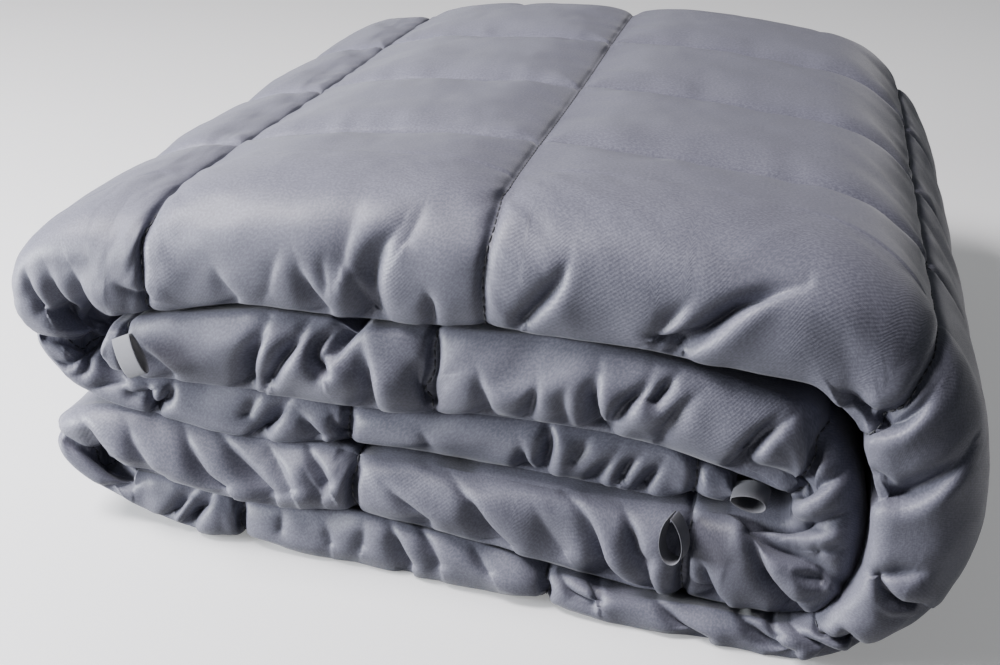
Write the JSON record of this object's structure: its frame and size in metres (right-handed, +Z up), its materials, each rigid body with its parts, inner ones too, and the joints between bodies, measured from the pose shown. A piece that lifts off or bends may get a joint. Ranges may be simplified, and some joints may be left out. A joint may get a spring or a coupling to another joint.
{
  "type": "weighted blanket",
  "caption": "Quilted weighted blanket, folded into a thick layered pack with rounded edges and small tape tie loops, lying flat.",
  "frame": {"origin": "middle of the pack, on the surface that it lies on", "axes": "+Z up, -Y towards the front with the folded lips, the hems and the loops, +X to the right seen from there"},
  "size_m": [0.3492, 0.4354, 0.1479],
  "materials": {
    "quilt_cotton": "fine cotton with a soft sheen",
    "loop_tape": "narrow cotton tape"
  },
  "bodies": {
    "root": {"blanket": "quilt_cotton", "loop_left": "loop_tape", "loop_right_upper": "loop_tape", "loop_right_lower": "loop_tape"}
  },
  "joints": []
}
